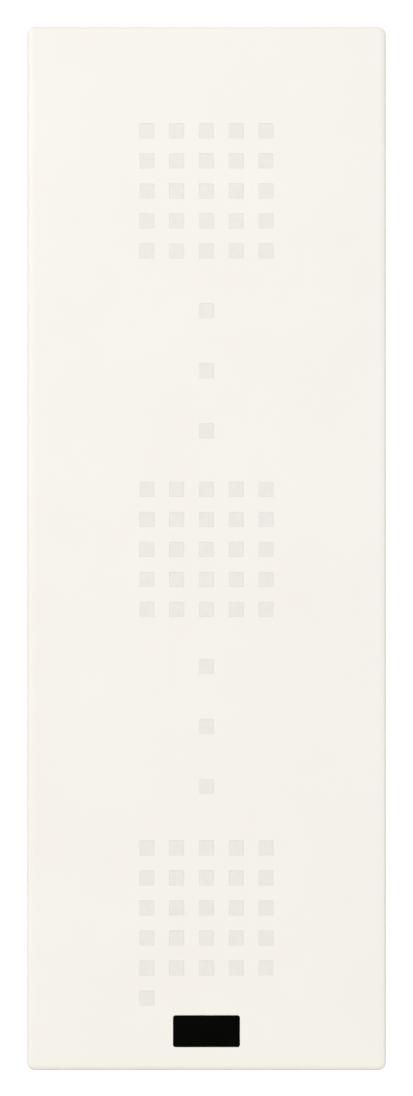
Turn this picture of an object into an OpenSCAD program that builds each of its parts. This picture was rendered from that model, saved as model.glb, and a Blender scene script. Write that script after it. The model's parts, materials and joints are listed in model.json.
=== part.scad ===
// Slim wall-mounted video doorbell: a hinged cream cover with touch fields, over a back box.
// X runs to the right, Y runs into the wall and Z runs up. The wall is the plane Y = 0.

/* [Panel] */
// Width of the front cover
panel_w = 72; // [72:0.5:76]
// Height of the front cover
panel_h = 209; // [209:0.5:214]
// Depth from the wall to the front face
panel_d = 24; // [24:0.5:26]
// Radius of the cover's corners, seen from the front
corner_r = 1.6; // [1.6:0.1:3]
// Radius of the edge between the front face and the sides
edge_r = 1.4; // [0.6:0.1:1.5]
// Wall thickness of the cover
cover_t = 2; // [2:0.1:2.2]
// Gap between the cover's rear edge and the wall
wall_gap = 3; // [2.9:0.1:3]

/* [Light windows] */
// Horizontal pitch of the light windows
raster_x = 5.95; // [5.8:0.05:6.1]
// Vertical pitch of the light windows
raster_z = 6; // [5.9:0.05:6.05]
// Width of one light window
pip_w = 2.9; // [2.5:0.1:3.2]
// Height of one light window
pip_h = 2.95; // [2.5:0.05:3.2]
// Height of the middle field's centre
field_mid_z = -0.2; // [-0.4:0.1:0.2]
// Distance between the centres of two fields
field_pitch = 71.65; // [71.4:0.05:71.8]
// Height of the upper link's middle window
upper_link_z = 35.5; // [35:0.1:36]
// Height of the lower link's middle window
lower_link_z = -35.6; // [-36:0.1:-35]

/* [Camera] */
// Width of the camera window
window_w = 13.4; // [13:0.1:14]
// Height of the camera window
window_h = 6.4; // [6.2:0.1:6.8]
// Height of the camera window's centre
window_z = -96.5; // [-96.6:0.1:-96.3]
// Edge length of the camera head
head_w = 6; // [5.6:0.1:6]
// Radius of the lens barrel
lens_r = 2.4; // [2:0.1:2.5]

/* [Back box] */
// Wall thickness of the back box
box_t = 1.2; // [1:0.1:1.2]
// Thickness of the back box's floor
floor_t = 2; // [1.9:0.1:2]
// Horizontal distance between the wall screws
wall_screw_dx = 50; // [48:1:50]
// Vertical distance between the wall screws
wall_screw_dz = 177; // [176:1:177]
// Radius of the wall screw holes
wall_screw_r = 2.2; // [2:0.1:2.3]
// Radius of the cable that the grommet takes
cable_r = 3.5; // [3:0.1:3.8]

/* [Electronics] */
// Thickness of the circuit board
board_t = 1.6; // [1.4:0.1:1.6]
// Edge length of a light-emitting diode
led_w = 2; // [1.6:0.1:2.2]
// Pitch of the terminals
terminal_pitch = 3.8; // [3.7:0.1:3.8]
// Outer radius of the loudspeaker
speaker_r = 11.5; // [11:0.1:11.5]

/* [Hidden] */
$fn = 48;

// Depths, front to back
front_y = -panel_d;
skin_y = front_y + cover_t;             // inner face of the cover
film_t = 0.3;
film_y = skin_y + film_t;               // back of the touch electrodes
guide_t = 1;
rim_y = skin_y + 2;                     // front edge of the back box
board_back_y = -15.3;
board_y = board_back_y - board_t;       // component side of the board
pip_gap = 0.01;                         // round each pip, in its hole
pip_recess = 0.01;                      // of the pips' faces behind the cover's face
gasket_t = 1;
gasket_w = 64;
gasket_z = [-100, 96.5];
gasket_rim = 12;
gasket_bar = 10;
floor_back_y = -gasket_t;
floor_y = floor_back_y - floor_t;       // inside of the back box's floor

// Heights of the fields and of the single windows
top_z = field_mid_z + field_pitch;
bottom_z = field_mid_z - field_pitch;
function field_points(z) = [for (row = [2:-1:-2], col = [-2:2]) [col * raster_x, z + row * raster_z]];
function link_points(z) = [for (i = [1:-1:-1]) [0, z + 2 * i * raster_z]];
extra_point = [-2 * raster_x, bottom_z - 3 * raster_z];
field_leds_at = concat(field_points(top_z), field_points(field_mid_z), field_points(bottom_z), [extra_point]);
link_leds_at = concat(link_points(upper_link_z), link_points(lower_link_z));
field_w = 5 * raster_x + 1.2;
field_h = 5 * raster_z + 1.2;

// Cover pocket
pocket_w = panel_w - 2 * cover_t;
pocket_h = panel_h - 2 * cover_t;
slot_pitch = 4;
slot_y = [-20, -10];
sound_z = lower_link_z;
microphone_x = 15;
microphone_y = -13;

// Back box outline: narrower at the foot, where the cover screws stand outside the seal
box_w = pocket_w - 1;
box_top_z = 95;
box_foot_z = -pocket_h / 2 + 0.7;
box_corner_z = -94.5;
box_foot_w = 40;
floor_top_z = 97.6;

// Hinge along the top edge
hinge_y = -6;
hinge_z = 99;
hinge_pin_r = 1.25;
hinge_r = 2.7;
hinge_x = 20;
knuckle_w = 6.4;
ear_w = 2.5;
ear_gap = 0.3;
hinge_reach = knuckle_w / 2 + ear_gap + ear_w;
bracket_t = 0.8;
running_gap = 0.05;

// Cover screws
screw_x = 27;
screw_y = -8;
screw_r = 1.5;
screw_head_r = 2.6;
lug_z = [-100.5, -98];

// Cable bay, speaker bay and camera bay, where the board is cut away
board_w = 62.8;
board_z = [-93, 86.9];
bay_x = -6;
cable_bay_z = [18, 52];
speaker_bay_z = [-56.5, -15];
camera_bay_x = 9.5;
camera_bay_z = -87.8;
wall_screw_z = 1.5;
foot_notch = [20, -82.5];
cable_x = -20;
cable_z = 35.5;

// Board screws, and the screws of the camera bracket and the speaker cradle
board_screws_at = [[-27, 78], [27, 78], [-27, 56.5], [27, 30], [-27, 0], [27, -32], [-27, -75], [27, -75]];
bracket_screws_at = [[-4.6, -94.5], [4.6, -94.5]];
cradle_screws_at = [for (s = [1, -1]) [-19.2, sound_z + s * 15.4]];

// Loudspeaker
speaker_x = -19.2;
speaker_z = sound_z;
baffle_y = -14.5;
cone_r = 8.6;
magnet_r = 6.5;

// Camera head, yoke and bracket
tilt_y = -16;
trunnion_r = 0.8;
yoke_x = head_w / 2 + 0.4;
yoke_t = 1;
yoke_top_z = [window_z + 4.2, window_z + 5.2];
pan_r = 1.4;
bracket_z = [window_z + 5.4, window_z + 7.3];
cheek_x = [7, 8.2];

// Terminal header, plug and levers
terminals = 4;
plug_z = upper_link_z;
plug_h = terminals * terminal_pitch + 2.4;
header_x = [-5.6, 4.4];
plug_x = [-15, -5.7];
plug_y = [-14.6, -8];
lever_x = -9;
lever_y = -13.6;
lever_barrel_r = 0.9;

// Switches
tamper_at = [24, 66];
setup_at = [24, -50];

// ---------------------------------------------------------------- shared shapes

// Box between two corners, given as a range on each axis.
module span(x, y, z) {
    translate([x[0], y[0], z[0]]) cube([x[1] - x[0], y[1] - y[0], z[1] - z[0]]);
}

// Box centred at a point of the front view, with a range in depth.
module pad(at, size, y) {
    span([at[0] - size[0] / 2, at[0] + size[0] / 2], y, [at[1] - size[1] / 2, at[1] + size[1] / 2]);
}

module rod_x(x, y, z, r) {
    translate([x[0], y, z]) rotate([0, 90, 0]) cylinder(h = x[1] - x[0], r = r);
}

module rod_y(at, y, r) {
    translate([at[0], y[1], at[1]]) rotate([90, 0, 0]) cylinder(h = y[1] - y[0], r = r);
}

module rod_z(x, y, z, r) {
    translate([x, y, z[0]]) cylinder(h = z[1] - z[0], r = r);
}

// Flat outline in the front view, with a range in depth.
module sheet(y) {
    translate([0, y[1], 0]) rotate([90, 0, 0]) linear_extrude(y[1] - y[0]) children();
}

// Ring profile turned about an axis that runs front to back; the profile's height runs to the front.
module turned(at, y) {
    translate([at[0], y, at[1]]) rotate([90, 0, 0]) rotate_extrude($fn = 64) children();
}

module round_rect(w, h, r) {
    square([w - 2 * r, h], center = true);
    square([w, h - 2 * r], center = true);
    for (sx = [-1, 1], sy = [-1, 1]) translate([sx * (w / 2 - r), sy * (h / 2 - r)]) circle(r);
}

// Width by depth, with the two far corners rounded.
module edge_profile(w, d, r) {
    translate([-w / 2, 0]) square([w, d - r]);
    translate([-w / 2 + r, 0]) square([w - 2 * r, d]);
    for (s = [-1, 1]) translate([s * (w / 2 - r), d - r]) circle(r);
}

module post_profile(d) {
    square([corner_r, d - edge_r]);
    square([corner_r - edge_r, d]);
    intersection() {
        translate([corner_r - edge_r, d - edge_r]) circle(edge_r);
        square([corner_r, d]);
    }
}

// Solid block of the cover's outer shape.
module tablet(d) {
    flat_w = panel_w - 2 * corner_r;
    flat_h = panel_h - 2 * corner_r;
    linear_extrude(flat_h, center = true) mirror([0, 1]) edge_profile(panel_w, d, edge_r);
    rotate([0, 90, 0]) linear_extrude(flat_w, center = true) mirror([0, 1]) edge_profile(panel_h, d, edge_r);
    for (sx = [-1, 1], sz = [-1, 1]) turned([sx * flat_w / 2, sz * flat_h / 2], 0) post_profile(d);
}

// Rounded slot in a side wall, long in depth.
module side_slot(x, z, width) {
    r = width / 2;
    span(x, [slot_y[0] + r, slot_y[1] - r], [z - r, z + r]);
    for (y = [slot_y[0] + r, slot_y[1] - r]) rod_x(x, y, z, r);
}

// Screw from the front: head, shank and a six-sided socket.
module board_screw(at, y, length) {
    difference() {
        union() {
            rod_y(at, [y - 1.4, y], 2.2);
            rod_y(at, [y, y + length], 1.1);
        }
        rod_y(at, [y - 1.5, y - 0.6], 1.1, $fn = 6);
    }
}

// ---------------------------------------------------------------- cover

module front_cover() color("#f8f5ee") {
    difference() {
        translate([0, -wall_gap, 0]) tablet(panel_d - wall_gap);
        sheet([skin_y, -wall_gap + 1]) round_rect(pocket_w, pocket_h, 0.8);
        for (p = concat(field_leds_at, link_leds_at)) pad(p, [pip_w, pip_h], [front_y - 1, skin_y + 1]);
        translate([0, 0, window_z]) sheet([front_y - 1, skin_y + 1]) round_rect(window_w, window_h, 0.5);
        for (i = [-2.5:2.5]) side_slot([-panel_w / 2 - 1, -pocket_w / 2 + 1], sound_z + i * slot_pitch, 1.4);
        rod_z(microphone_x, microphone_y, [-panel_h / 2 - 1, -pocket_h / 2 + 1], 0.8);
        for (s = [-1, 1]) {
            rod_z(s * screw_x, screw_y, [-panel_h / 2 - 1, -panel_h / 2 + 1.7], screw_head_r + 0.3);
            rod_z(s * screw_x, screw_y, [-panel_h / 2, -pocket_h / 2 + 1], screw_r + 0.1);
        }
    }
    for (s = [-1, 1]) {
        difference() {
            rod_z(s * screw_x, screw_y, [-pocket_h / 2, -pocket_h / 2 + 1], 3.4);
            rod_z(s * screw_x, screw_y, [-pocket_h / 2 - 1, -pocket_h / 2 + 2], screw_r + 0.1);
        }
        knuckle(s * hinge_x);
    }
}

// Bearing of the hinge, hanging from the cover's top wall.
module knuckle(x) {
    side = [x - knuckle_w / 2, x + knuckle_w / 2];
    difference() {
        union() {
            rod_x(side, hinge_y, hinge_z, hinge_r);
            span(side, [hinge_y - hinge_r, hinge_y + hinge_r], [hinge_z, pocket_h / 2]);
        }
        rod_x([side[0] - 1, side[1] + 1], hinge_y, hinge_z, hinge_pin_r + running_gap);
    }
}

// Translucent plate with one pip for each window.
module light_guide(points, plate, centre, back_y) {
    pad(centre, plate, [back_y - guide_t, back_y]);
    for (p = points) pip(p, back_y - guide_t);
}

module pip(at, y) {
    pad(at, [pip_w - 2 * pip_gap, pip_h - 2 * pip_gap], [front_y + pip_recess, y]);
}

module field_light_guide(points, z) color("#eeebe6")
    light_guide(points, [field_w, field_h], [0, z], film_y + guide_t);

module top_light_guide() field_light_guide(field_points(top_z), top_z);
module middle_light_guide() field_light_guide(field_points(field_mid_z), field_mid_z);

module bottom_light_guide() {
    field_light_guide(field_points(bottom_z), bottom_z);
    color("#eeebe6") {
        pad(extra_point, [5, 5.4], [film_y, film_y + guide_t]);
        pip(extra_point, film_y);
    }
}

module link_light_guide(z) color("#eeebe6")
    light_guide(link_points(z), [6, 30], [0, z], skin_y + guide_t);

module upper_link_light_guide() link_light_guide(upper_link_z);
module lower_link_light_guide() link_light_guide(lower_link_z);

// Copper film behind each field, with a hole for each pip and a contact tab on each side.
module touch_electrodes() color("#b87a4b")
    for (z = [top_z, field_mid_z, bottom_z])
        difference() {
            union() {
                pad([0, z], [field_w, field_h], [skin_y, film_y]);
                pad([0, z], [field_w + 11, 6], [skin_y, film_y]);
            }
            for (p = field_points(z)) pad(p, [pip_w + 0.6, pip_h + 0.6], [skin_y - 1, film_y + 1]);
        }

module camera_window() color("#0a0b08") {
    gap = 0.03;
    translate([0, 0, window_z]) {
        sheet([front_y + 0.05, film_y]) round_rect(window_w - 2 * gap, window_h - 2 * gap, 0.5);
        sheet([film_y, film_y + 0.8]) round_rect(window_w + 2.2, window_h + 1.4, 0.8);
    }
}

module window_gasket() color("#26272a")
    translate([0, 0, window_z]) sheet([skin_y, film_y]) difference() {
        round_rect(window_w + 2.2, window_h + 1.4, 0.8);
        round_rect(window_w + 0.1, window_h + 0.1, 0.5);
    }

module acoustic_mesh() color("#3a3b3d")
    span([-pocket_w / 2, -pocket_w / 2 + 0.3], [slot_y[0] - 1, slot_y[1] + 1],
        [sound_z - 3 * slot_pitch, sound_z + 3 * slot_pitch]);

// Captive screw: head, shank, and the clamp washer above the lug of the back box.
module cover_screw(x) color("#c9cacc") {
    head_z = [-panel_h / 2 + 0.1, -panel_h / 2 + 1.7];
    difference() {
        union() {
            rod_z(x, screw_y, head_z, screw_head_r);
            rod_z(x, screw_y, [head_z[1], lug_z[1] + 2.2], screw_r);
            rod_z(x, screw_y, [lug_z[1] + 0.1, lug_z[1] + 1.6], 2.9);
        }
        translate([x, screw_y, head_z[0] - 1]) cylinder(h = 2, r = 1.3, $fn = 6);
    }
}

module cover_screw_left() cover_screw(-screw_x);
module cover_screw_right() cover_screw(screw_x);

// ---------------------------------------------------------------- back box

// Outline of the back box, drawn inwards by a wall's thickness.
module box_outline(inset) {
    w = box_w / 2 - inset;
    f = box_foot_w / 2 - inset;
    polygon([[-w, box_top_z - inset], [w, box_top_z - inset], [w, box_corner_z + inset],
        [f, box_corner_z + inset], [f, box_foot_z + inset], [-f, box_foot_z + inset],
        [-f, box_corner_z + inset], [-w, box_corner_z + inset]]);
}

function wall_screws() = [for (sx = [-1, 1], sz = [-1, 1])
    [sx * wall_screw_dx / 2, wall_screw_z + sz * wall_screw_dz / 2]];

// Floor of the back box.
module back_plate() color("#d9d8d3") {
    difference() {
        span([-box_w / 2, box_w / 2], [floor_y, floor_back_y], [box_foot_z, floor_top_z]);
        for (p = concat(board_screws_at, bracket_screws_at, cradle_screws_at))
            rod_y(p, [floor_y - 1, floor_back_y - 0.3], 1.1);
        for (p = wall_screws()) rod_y(p, [floor_y - 1, floor_back_y + 1], wall_screw_r);
        rod_y([cable_x, cable_z], [floor_y - 1, floor_back_y + 1], 9);
    }
}

// Die-cast strip across the top of the back plate, with two ears for each knuckle.
module hinge_bracket() color("#b4b6b9") {
    reach = hinge_x + hinge_reach;
    span([-reach, reach], [floor_y - bracket_t, floor_y], [box_top_z, box_top_z + 2]);
    for (s = [-1, 1]) {
        hinge_ear(s * hinge_x - hinge_reach);
        hinge_ear(s * hinge_x + hinge_reach - ear_w);
    }
}

module box_frame() color("#d3d2cd")
    difference() {
        sheet([rim_y, floor_y]) box_outline(0);
        sheet([rim_y - 1, floor_y + 1]) box_outline(box_t);
        span([-box_w / 2 - 1, -box_w / 2 + box_t + 1], [rim_y - 1, slot_y[1] + 0.5],
            [sound_z - 11, sound_z + 11]);
        rod_z(microphone_x, microphone_y, [box_foot_z - 1, box_foot_z + box_t + 1], 2.2);
    }

// Threaded brass posts, with their studs pressed into the back plate.
module board_standoffs() color("#c9a95a")
    for (p = board_screws_at)
        difference() {
            union() {
                rod_y(p, [board_back_y, floor_y], 2.5);
                rod_y(p, [floor_y, floor_back_y - 0.3], 1.1);
            }
            rod_y(p, [board_back_y - 1, board_back_y + 6.5], 1.1);
        }

module hinge_ear(x) {
    side = [x, x + ear_w];
    difference() {
        union() {
            rod_x(side, hinge_y, hinge_z, hinge_r);
            span(side, [hinge_y - hinge_r, floor_y], [box_top_z, floor_top_z]);
        }
        rod_x([side[0] - 1, side[1] + 1], hinge_y, hinge_z, hinge_pin_r);
    }
}

// Angle with a slot that is open to the front, so that the captive screw can swing out.
module screw_lug(x) {
    difference() {
        union() {
            span([x - 5, x + 5], [screw_y - 3, floor_y], lug_z);
            span([x - 5, x + 5], [floor_y - bracket_t, floor_y], [lug_z[1], box_corner_z - 0.5]);
        }
        rod_z(x, screw_y, [lug_z[0] - 1, lug_z[1] + 1], screw_r + 0.3);
        span([x - screw_r - 0.3, x + screw_r + 0.3], [screw_y - 4, screw_y], [lug_z[0] - 1, lug_z[1] + 1]);
    }
}

module screw_lugs() color("#b4b6b9") for (s = [-1, 1]) screw_lug(s * screw_x);

module gasket_window(z) {
    translate([0, (z[0] + z[1]) / 2]) round_rect(gasket_w - 2 * gasket_rim, z[1] - z[0], 3);
}

// Foam frame with a cross-bar, and a ring round the cable entry.
module wall_gasket() color("#3b3c3e")
    sheet([floor_back_y, 0]) difference() {
        translate([-gasket_w / 2, gasket_z[0]]) square([gasket_w, gasket_z[1] - gasket_z[0]]);
        difference() {
            union() {
                gasket_window([gasket_z[0] + gasket_rim, -gasket_bar / 2]);
                gasket_window([gasket_bar / 2, gasket_z[1] - gasket_rim]);
            }
            translate([cable_x, cable_z]) circle(15);
        }
        for (p = wall_screws()) translate(p) circle(wall_screw_r);
        translate([cable_x, cable_z]) circle(11);
    }

module rim_seal() color("#1f2022")
    sheet([skin_y + 0.4, rim_y]) difference() {
        box_outline(0.1);
        box_outline(box_t - 0.1);
        translate([-box_w / 2 - 1, sound_z - 11]) square([4, 22]);
    }

module cable_grommet() color("#2b2c2e")
    difference() {
        turned([cable_x, cable_z], -0.2)
            polygon([[0, 0], [10.4, 0], [10.4, 0.8], [9, 0.8], [9, 2.8], [10.4, 2.8], [10.4, 3.8],
                [8.5, 4.3], [5.2, 6.3], [0, 6.3]]);
        rod_y([cable_x, cable_z], [-8, 1], cable_r);
    }

module hinge_pins() color("#c4c6c9")
    for (s = [-1, 1])
        rod_x([s * hinge_x - hinge_reach, s * hinge_x + hinge_reach], hinge_y, hinge_z, hinge_pin_r);

module internal_screws() color("#b9bbbe") {
    for (p = board_screws_at) board_screw(p, board_y, 7);
    for (p = concat(bracket_screws_at, cradle_screws_at)) board_screw(p, floor_y - 1.2, 2.6);
}

// ---------------------------------------------------------------- board

module board_outline() {
    w = board_w / 2;
    difference() {
        translate([-w, board_z[0]]) square([board_w, board_z[1] - board_z[0]]);
        translate([-w - 1, cable_bay_z[0]]) square([w + 1 + bay_x, cable_bay_z[1] - cable_bay_z[0]]);
        translate([-w - 1, speaker_bay_z[0]]) square([w + 1 + bay_x, speaker_bay_z[1] - speaker_bay_z[0]]);
        translate([-camera_bay_x, board_z[0] - 1]) square([2 * camera_bay_x, camera_bay_z - board_z[0] + 1]);
        for (s = [-1, 1])
            translate([s > 0 ? foot_notch[0] : -w - 1, board_z[0] - 1])
                square([w + 1 - foot_notch[0], foot_notch[1] - board_z[0] + 1]);
        for (p = board_screws_at) translate(p) circle(1.3);
    }
}

module main_board() color("#1f5a3c") sheet([board_y, board_back_y]) board_outline();

module leds(points) {
    for (p = points) {
        pad(p, [led_w, led_w], [board_y - 0.7, board_y]);
        rod_y(p, [board_y - 0.85, board_y - 0.7], led_w * 0.38);
    }
}

module light_diodes() color("#f3eecb") leds(concat(field_leds_at, link_leds_at));

// White grid with one cell for each diode, so that no window lights its neighbour.
module light_box(points, z) {
    difference() {
        pad([0, z], [field_w, field_h], [board_y - 3.4, board_y]);
        for (p = points) pad(p, [raster_x - 1.1, raster_z - 1.1], [board_y - 4, board_y + 1]);
    }
}

module light_tube(at) {
    difference() {
        pad(at, [4.7, 4.7], [board_y - 3.4, board_y]);
        pad(at, [3.5, 3.5], [board_y - 4, board_y + 1]);
    }
}

// A grid for each field, and a tube of its own for each single window.
module light_boxes() color("#ececea") {
    for (z = [top_z, field_mid_z, bottom_z]) light_box(field_points(z), z);
    for (p = concat(link_leds_at, [extra_point])) light_tube(p);
}

// Coil springs that carry the touch signal from the board to the electrodes, drawn at their outer size.
module touch_contacts() color("#b9bbbe")
    for (z = [top_z, field_mid_z, bottom_z], s = [-1, 1])
        rod_y([s * (field_w / 2 + 3), z], [film_y + 0.1, board_y], 2);

module processor() color("#1c1d1f") pad([17, 38], [13, 13], [board_y - 1.3, board_y]);

module memory_chips() color("#222326") {
    pad([11.5, 23], [8, 6], [board_y - 1, board_y]);
    pad([21.5, 23], [6, 5], [board_y - 1, board_y]);
    pad([-23, 6], [5, 6], [board_y - 1, board_y]);
}

module network_shield() color("#b4b6b8")
    difference() {
        pad([15.5, -35], [14, 24], [board_y - 2.6, board_y]);
        pad([15.5, -35], [13.4, 23.4], [board_y - 2.3, board_y + 1]);
    }

module power_inductors() color("#47484b")
    for (z = [-60, -67.5]) pad([25.5, z], [6.4, 6.4], [board_y - 3.6, board_y]);

module capacitors() color("#c3c5c8")
    for (p = [[-25, 70], [-25, 63], [25, 58.5], [25, 51.5]]) rod_y(p, [board_y - 4, board_y], 3);

module door_relay() color("#e2e0d8") pad([-25.5, -64.5], [8, 12], [board_y - 4, board_y]);

module camera_connector() color("#e9e7df") pad([0, -83.2], [7, 3], [board_back_y, board_back_y + 1.9]);

// Flat cable from behind the camera head up to its connector on the back of the board.
module camera_ribbon() color("#c98a3a")
    translate([-2.5, 0, 0]) rotate([90, 0, 90]) linear_extrude(5)
        polygon([[-10.8, window_z - 1.5], [-10.5, window_z - 1.5], [-10.5, -88.4], [-13.7, -84.7],
            [-13.7, -85.2], [-10.8, -88.6]]);

// ---------------------------------------------------------------- loudspeaker and microphone

module speaker_cradle() color("#3f4245") {
    x = [-31.6, -6.8];
    z = [speaker_z - 12.6, speaker_z + 12.6];
    difference() {
        union() {
            span(x, [baffle_y, floor_y], z);
            pad([speaker_x, speaker_z], [8, 36.8], [floor_y - 1.2, floor_y]);
        }
        span([x[0] + 1.2, x[1] - 1.2], [baffle_y + 1.2, floor_y + 1], [z[0] + 1.2, z[1] - 1.2]);
        rod_y([speaker_x, speaker_z], [baffle_y - 1, baffle_y + 2], 10.5);
        for (p = cradle_screws_at) rod_y(p, [floor_y - 2, floor_y + 1], 1.2);
    }
}

module speaker_frame() color("#8f9295")
    turned([speaker_x, speaker_z], 0)
        polygon([[9.9, -baffle_y], [speaker_r, -baffle_y], [speaker_r, -baffle_y + 1.2],
            [10.4, -baffle_y + 1.2], [10.4, -baffle_y + 0.5], [9.5, -baffle_y + 0.5],
            [6.6, 10.4], [magnet_r, 9.3], [magnet_r, 8.7], [7.2, 8.7]]);

module speaker_magnet() color("#5d6063")
    turned([speaker_x, speaker_z], 0) {
        translate([0, 5]) square([magnet_r, 1]);
        translate([0, 5.5]) square([2.8, 3.8]);
        translate([4.2, 5.5]) square([magnet_r - 4.2, 3.8]);
    }

module speaker_surround() color("#232426")
    turned([speaker_x, speaker_z], 0)
        difference() {
            union() {
                translate([9.5, 15.15]) circle(0.85);
                translate([9.5, 15]) square([0.9, 0.3]);
            }
            translate([9.5, 15.05]) circle(0.6);
            translate([8, 14]) square([3, 1]);
        }

// Cone, dust cap and voice coil, which move as one.
module speaker_cone() color("#2e3033")
    turned([speaker_x, speaker_z], 0)
        polygon([[3.5, 12.7], [cone_r - 0.6, 15], [cone_r - 0.1, 15], [cone_r - 0.1, 15.3],
            [cone_r - 0.7, 15.3], [3.4, 13.2], [0, 13.8], [0, 13.3], [3, 12.7], [3, 7], [3.5, 7]]);

// Foam wall round the cone, open towards the sound slots.
module speaker_gasket() color("#4a4c4f")
    difference() {
        rod_y([speaker_x, speaker_z], [skin_y + 0.4, baffle_y - 1.2], speaker_r);
        rod_y([speaker_x, speaker_z], [skin_y - 1, baffle_y], speaker_r - 1.1);
        span([speaker_x - 20, speaker_x - 5], [skin_y - 1, baffle_y], [speaker_z - 7, speaker_z + 7]);
    }

module microphone() color("#9b9da0")
    rod_z(microphone_x, microphone_y, [-97.6, -95.6], 2);

module microphone_boot() color("#1f2022")
    difference() {
        union() {
            rod_z(microphone_x, microphone_y, [box_foot_z + box_t, -95.2], 3);
            rod_z(microphone_x, microphone_y, [-pocket_h / 2 + 0.4, box_foot_z + box_t], 2.2);
        }
        rod_z(microphone_x, microphone_y, [-97.6, -94], 2);
        rod_z(microphone_x, microphone_y, [-104, -97], 0.8);
    }

// ---------------------------------------------------------------- terminals

function terminal_z(i) = plug_z + (i - (terminals + 1) / 2) * terminal_pitch;
function plug_span(margin) = [plug_z - plug_h / 2 - margin, plug_z + plug_h / 2 + margin];

module terminal_header() color("#4e7f57")
    difference() {
        span(header_x, [board_back_y, plug_y[1] + 0.6], plug_span(0.6));
        span([header_x[0] - 1, 2.6], [plug_y[0] + 0.3, plug_y[1] - 0.3], plug_span(-0.5));
    }

module terminal_pins() color("#c8b469")
    for (i = [1:terminals]) rod_x([-3.4, 2.6], (plug_y[0] + plug_y[1]) / 2, terminal_z(i), 0.5);

module terminal_plug() color("#4f8a5b")
    difference() {
        union() {
            span(plug_x, plug_y, plug_span(0));
            span([plug_x[1] - 0.1, 2.4], [plug_y[0] + 0.5, plug_y[1] - 0.5], plug_span(-0.7));
        }
        for (i = [1:terminals]) {
            rod_x([plug_x[0] - 1, plug_x[0] + 4.5], -9.9, terminal_z(i), 1.1);
            rod_x([-4, 3], (plug_y[0] + plug_y[1]) / 2, terminal_z(i), 0.6);
            span([lever_x - 1.2, lever_x + 2.5], [plug_y[0] - 1, lever_y + 1.2],
                [terminal_z(i) - 1.6, terminal_z(i) + 1.6]);
        }
    }

// Clamp lever: a barrel in the plug and a thumb plate that lies flat when the wire is held.
module terminal_lever(i) color("#d98a3a") {
    z = [terminal_z(i) - 1.5, terminal_z(i) + 1.5];
    rod_z(lever_x, lever_y, z, lever_barrel_r);
    span([lever_x - 0.9, lever_x], [lever_y - 1.2, lever_y], z);
    span([lever_x - 5.5, lever_x], [lever_y - 2, lever_y - 1.1], z);
    rod_z(lever_x - 5, lever_y - 1.9, z, 0.5);
}

module terminal_lever_1() terminal_lever(1);
module terminal_lever_2() terminal_lever(2);
module terminal_lever_3() terminal_lever(3);
module terminal_lever_4() terminal_lever(4);

// ---------------------------------------------------------------- camera

module camera_bracket() color("#2f3133") {
    z = [window_z - 3.6, bracket_z[1]];
    difference() {
        union() {
            span([-cheek_x[1], cheek_x[1]], [-19, -12.2], bracket_z);
            span([-cheek_x[1], cheek_x[1]], [floor_y - 1.2, floor_y], z);
            for (s = [-1, 1]) {
                span(s > 0 ? cheek_x : [-cheek_x[1], -cheek_x[0]], [-19, floor_y], z);
                pad([s * 6.45, window_z], [3.5, 2.4], [-19, -18.3]);
            }
        }
        rod_z(0, tilt_y, [bracket_z[0] - 1, bracket_z[1] + 1], pan_r + running_gap);
        for (p = bracket_screws_at) rod_y(p, [floor_y - 2, floor_y + 1], 1.2);
    }
}

module infrared_leds() color("#3a3550")
    for (s = [-1, 1]) {
        rod_y([s * 5.7, window_z], [-19.7, -19], 1);
        rod_y([s * 5.7, window_z], [-20.2, -19.7], 0.75);
    }

// Hangs from the pan pivot and holds the head's trunnions.
module camera_yoke() color("#4a4d50")
    difference() {
        union() {
            span([-yoke_x - yoke_t, yoke_x + yoke_t], [tilt_y - 1.8, tilt_y + 1.8], yoke_top_z);
            for (s = [-1, 1])
                span(s > 0 ? [yoke_x, yoke_x + yoke_t] : [-yoke_x - yoke_t, -yoke_x],
                    [tilt_y - 1.4, tilt_y + 1.4], [window_z - 1.8, yoke_top_z[1]]);
            rod_z(0, tilt_y, [yoke_top_z[0], bracket_z[1] + 0.2], pan_r);
            rod_z(0, tilt_y, [bracket_z[1] + 0.2, bracket_z[1] + 0.8], 2.1);
        }
        rod_x([-yoke_x - 2, yoke_x + 2], tilt_y, window_z, trunnion_r + running_gap);
    }

module camera_head() color("#232527") {
    difference() {
        pad([0, window_z], [head_w, head_w], [-17.3, -12.8]);
        rod_y([0, window_z], [-18, -13.6], lens_r);
    }
    rod_x([-yoke_x - yoke_t, -head_w / 2], tilt_y, window_z, trunnion_r);
    rod_x([head_w / 2, yoke_x + yoke_t], tilt_y, window_z, trunnion_r);
}

module lens_barrel() color("#17181a")
    difference() {
        rod_y([0, window_z], [-19.8, -13.8], lens_r);
        turned([0, window_z], 0) polygon([[0, 18.6], [1.3, 18.6], [2, 19.9], [0, 19.9]]);
        rod_y([0, window_z], [-18.7, -17.2], 1.3);
    }

module lens() color("#31424a")
    turned([0, window_z], 0)
        intersection() {
            translate([0, 17.25]) square([1.3, 2]);
            translate([0, 16]) circle(2.45);
        }

module sensor_board() color("#1f5a3c") {
    pad([0, window_z], [head_w, head_w], [-12.8, -12]);
    pad([0, window_z], [3.6, 1.6], [-12, -11.3]);
}

// ---------------------------------------------------------------- switches

module tamper_switch() color("#2a2b2e")
    difference() {
        pad(tamper_at, [5, 5], [board_y - 2.2, board_y]);
        rod_y(tamper_at, [board_y - 3, board_y - 0.2], 1.15);
    }

module tamper_plunger() color("#e6e4de") rod_y(tamper_at, [skin_y + 0.3, board_y - 0.4], 1.1);

module setup_switch() color("#b0b2b5")
    difference() {
        pad(setup_at, [5, 5], [board_y - 2, board_y]);
        rod_y(setup_at, [board_y - 3, board_y - 0.5], 1.35);
    }

module setup_button() color("#232427") rod_y(setup_at, [board_y - 3.2, board_y - 1.1], 1.3);

// ---------------------------------------------------------------- nodes

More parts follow.
